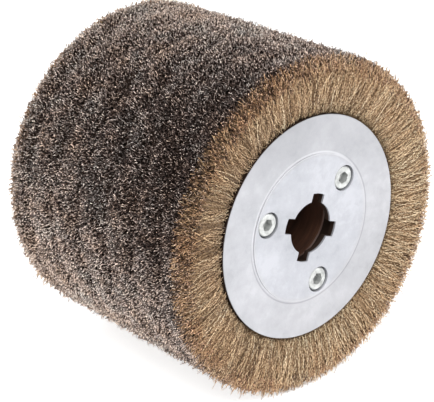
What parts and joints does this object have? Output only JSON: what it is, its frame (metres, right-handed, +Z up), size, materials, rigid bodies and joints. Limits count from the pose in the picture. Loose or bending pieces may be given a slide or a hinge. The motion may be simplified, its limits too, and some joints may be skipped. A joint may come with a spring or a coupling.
{
  "type": "drum brush",
  "caption": "Cylindrical crimped-wire drum brush with zinc-coated end plates, socket-head tie bolts and a keyed spindle bore.",
  "frame": {"origin": "middle of the drum, on its axis", "axes": "+Y along the drum's axis from the bolt heads' end to the nuts' end, +Z up with the drum lying on its side"},
  "size_m": [0.12, 0.1, 0.12],
  "materials": {
    "zinc_plate": "matt zinc coating with faint spangle",
    "bolt_steel": "bright zinc plating",
    "core": "dark brown moulded resin",
    "channel_steel": "plain rolled steel",
    "brassed_wire": "brass-coated crimped steel wire, cut ends bare"
  },
  "bodies": {
    "root": {"front_end_plate": "zinc_plate", "rear_end_plate": "zinc_plate", "core_tube": "core", "tie_bolt_1": "bolt_steel", "tie_bolt_2": "bolt_steel", "tie_bolt_3": "bolt_steel", "tie_nut_1": "bolt_steel", "tie_nut_2": "bolt_steel", "tie_nut_3": "bolt_steel", "channel_ring_1": "channel_steel", "channel_ring_2": "channel_steel", "channel_ring_3": "channel_steel", "channel_ring_4": "channel_steel", "channel_ring_5": "channel_steel", "channel_ring_6": "channel_steel", "channel_ring_7": "channel_steel", "retaining_hoop_1": "channel_steel", "retaining_hoop_2": "channel_steel", "retaining_hoop_3": "channel_steel", "retaining_hoop_4": "channel_steel", "retaining_hoop_5": "channel_steel", "retaining_hoop_6": "channel_steel", "retaining_hoop_7": "channel_steel", "wire_section_1": "brassed_wire", "wire_section_2": "brassed_wire", "wire_section_3": "brassed_wire", "wire_section_4": "brassed_wire", "wire_section_5": "brassed_wire", "wire_section_6": "brassed_wire", "wire_section_7": "brassed_wire"}
  },
  "joints": []
}
